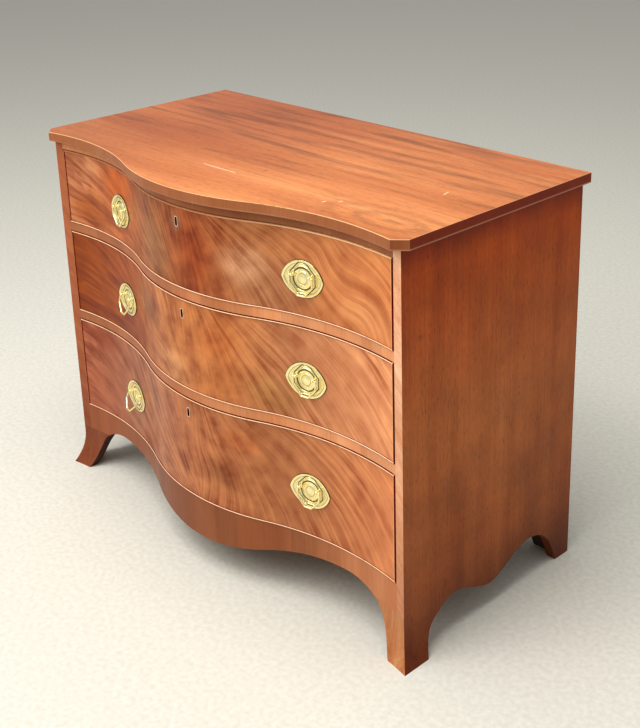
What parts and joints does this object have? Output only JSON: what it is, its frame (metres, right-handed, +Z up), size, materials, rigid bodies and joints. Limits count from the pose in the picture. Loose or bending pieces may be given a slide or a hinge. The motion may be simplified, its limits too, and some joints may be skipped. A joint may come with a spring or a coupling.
{
  "type": "serpentine commode",
  "caption": "Free-standing chest of drawers with a serpentine bowed front, canted top corners, splayed bracket feet, brass bail handles, locks and drawers that pull out.",
  "frame": {"origin": "on the floor under the middle of the chest's overall box", "axes": "+Z up, -Y out of the drawer fronts, +X to the right of a person who faces the drawers"},
  "size_m": [1.122, 0.599, 0.85],
  "materials": {
    "mahogany": "French-polished mahogany",
    "flame_mahogany": "French-polished flame mahogany veneer",
    "crossbanded_mahogany": "French-polished crossbanded mahogany veneer",
    "cockbead_mahogany": "polished rounded bead",
    "drawer_oak": "bare planed oak",
    "pine": "bare aged pine",
    "brass": "worn pale lacquered brass",
    "lock_brass": "dull brass",
    "iron": "dark iron"
  },
  "bodies": {
    "carcase": {"apron": "crossbanded_mahogany", "back_boards": "pine", "bottom_board": "pine", "drawer_stops": "pine", "glue_blocks": "pine", "left_front_foot": "crossbanded_mahogany", "left_front_stile": "crossbanded_mahogany", "left_side": "mahogany", "lower_drawer_rail": "crossbanded_mahogany", "lower_dustboard": "pine", "rear_foot_brackets": "pine", "right_front_foot": "crossbanded_mahogany", "right_front_stile": "crossbanded_mahogany", "right_side": "mahogany", "top_back_rail": "pine", "top_board": "mahogany", "top_front_rail": "crossbanded_mahogany", "top_kickers": "pine", "top_screws": "iron", "upper_drawer_rail": "crossbanded_mahogany", "upper_dustboard": "pine"},
    "upper_drawer": {"upper_drawer_back": "drawer_oak", "upper_drawer_bottom": "drawer_oak", "upper_drawer_cockbeads": "cockbead_mahogany", "upper_drawer_escutcheon": "brass", "upper_drawer_front": "flame_mahogany", "upper_drawer_handle_plates": "brass", "upper_drawer_handle_posts": "brass", "upper_drawer_left_side": "drawer_oak", "upper_drawer_lock": "lock_brass", "upper_drawer_right_side": "drawer_oak"},
    "upper_left_bail": {"upper_drawer_left_bail": "brass"},
    "upper_right_bail": {"upper_drawer_right_bail": "brass"},
    "upper_lock_bolt": {"upper_drawer_lock_bolt": "lock_brass"},
    "middle_drawer": {"middle_drawer_back": "drawer_oak", "middle_drawer_bottom": "drawer_oak", "middle_drawer_cockbeads": "cockbead_mahogany", "middle_drawer_escutcheon": "brass", "middle_drawer_front": "flame_mahogany", "middle_drawer_handle_plates": "brass", "middle_drawer_handle_posts": "brass", "middle_drawer_left_side": "drawer_oak", "middle_drawer_lock": "lock_brass", "middle_drawer_right_side": "drawer_oak"},
    "middle_left_bail": {"middle_drawer_left_bail": "brass"},
    "middle_right_bail": {"middle_drawer_right_bail": "brass"},
    "middle_lock_bolt": {"middle_drawer_lock_bolt": "lock_brass"},
    "lower_drawer": {"lower_drawer_back": "drawer_oak", "lower_drawer_bottom": "drawer_oak", "lower_drawer_cockbeads": "cockbead_mahogany", "lower_drawer_escutcheon": "brass", "lower_drawer_front": "flame_mahogany", "lower_drawer_handle_plates": "brass", "lower_drawer_handle_posts": "brass", "lower_drawer_left_side": "drawer_oak", "lower_drawer_lock": "lock_brass", "lower_drawer_right_side": "drawer_oak"},
    "lower_left_bail": {"lower_drawer_left_bail": "brass"},
    "lower_right_bail": {"lower_drawer_right_bail": "brass"},
    "lower_lock_bolt": {"lower_drawer_lock_bolt": "lock_brass"}
  },
  "joints": [
    {"name": "upper_drawer_slide", "type": "slide", "parent": "carcase", "child": "upper_drawer", "axis": [0, -1, 0], "range_m": [0, 0.34]},
    {"name": "upper_left_bail_hinge", "type": "hinge", "parent": "upper_drawer", "child": "upper_left_bail", "pos_m": [-0.29281, -0.21911, 0.7178], "axis": [-0.9796, 0.201, 0], "range_deg": [0, 95]},
    {"name": "upper_right_bail_hinge", "type": "hinge", "parent": "upper_drawer", "child": "upper_right_bail", "pos_m": [0.29281, -0.21911, 0.7178], "axis": [-0.9796, -0.201, 0], "range_deg": [0, 95]},
    {"name": "upper_lock_bolt_slide", "type": "slide", "parent": "upper_drawer", "child": "upper_lock_bolt", "axis": [0, 0, 1], "range_m": [0, 0.008]},
    {"name": "middle_drawer_slide", "type": "slide", "parent": "carcase", "child": "middle_drawer", "axis": [0, -1, 0], "range_m": [0, 0.34]},
    {"name": "middle_left_bail_hinge", "type": "hinge", "parent": "middle_drawer", "child": "middle_left_bail", "pos_m": [-0.29281, -0.21911, 0.5123], "axis": [-0.9796, 0.201, 0], "range_deg": [-13, 82]},
    {"name": "middle_right_bail_hinge", "type": "hinge", "parent": "middle_drawer", "child": "middle_right_bail", "pos_m": [0.29281, -0.21911, 0.5123], "axis": [-0.9796, -0.201, 0], "range_deg": [0, 95]},
    {"name": "middle_lock_bolt_slide", "type": "slide", "parent": "middle_drawer", "child": "middle_lock_bolt", "axis": [0, 0, 1], "range_m": [0, 0.008]},
    {"name": "lower_drawer_slide", "type": "slide", "parent": "carcase", "child": "lower_drawer", "axis": [0, -1, 0], "range_m": [0, 0.34]},
    {"name": "lower_left_bail_hinge", "type": "hinge", "parent": "lower_drawer", "child": "lower_left_bail", "pos_m": [-0.29281, -0.21911, 0.2738], "axis": [-0.9796, 0.201, 0], "range_deg": [-25, 70]},
    {"name": "lower_right_bail_hinge", "type": "hinge", "parent": "lower_drawer", "child": "lower_right_bail", "pos_m": [0.29281, -0.21911, 0.2738], "axis": [-0.9796, -0.201, 0], "range_deg": [-4, 91]},
    {"name": "lower_lock_bolt_slide", "type": "slide", "parent": "lower_drawer", "child": "lower_lock_bolt", "axis": [0, 0, 1], "range_m": [0, 0.008]}
  ]
}
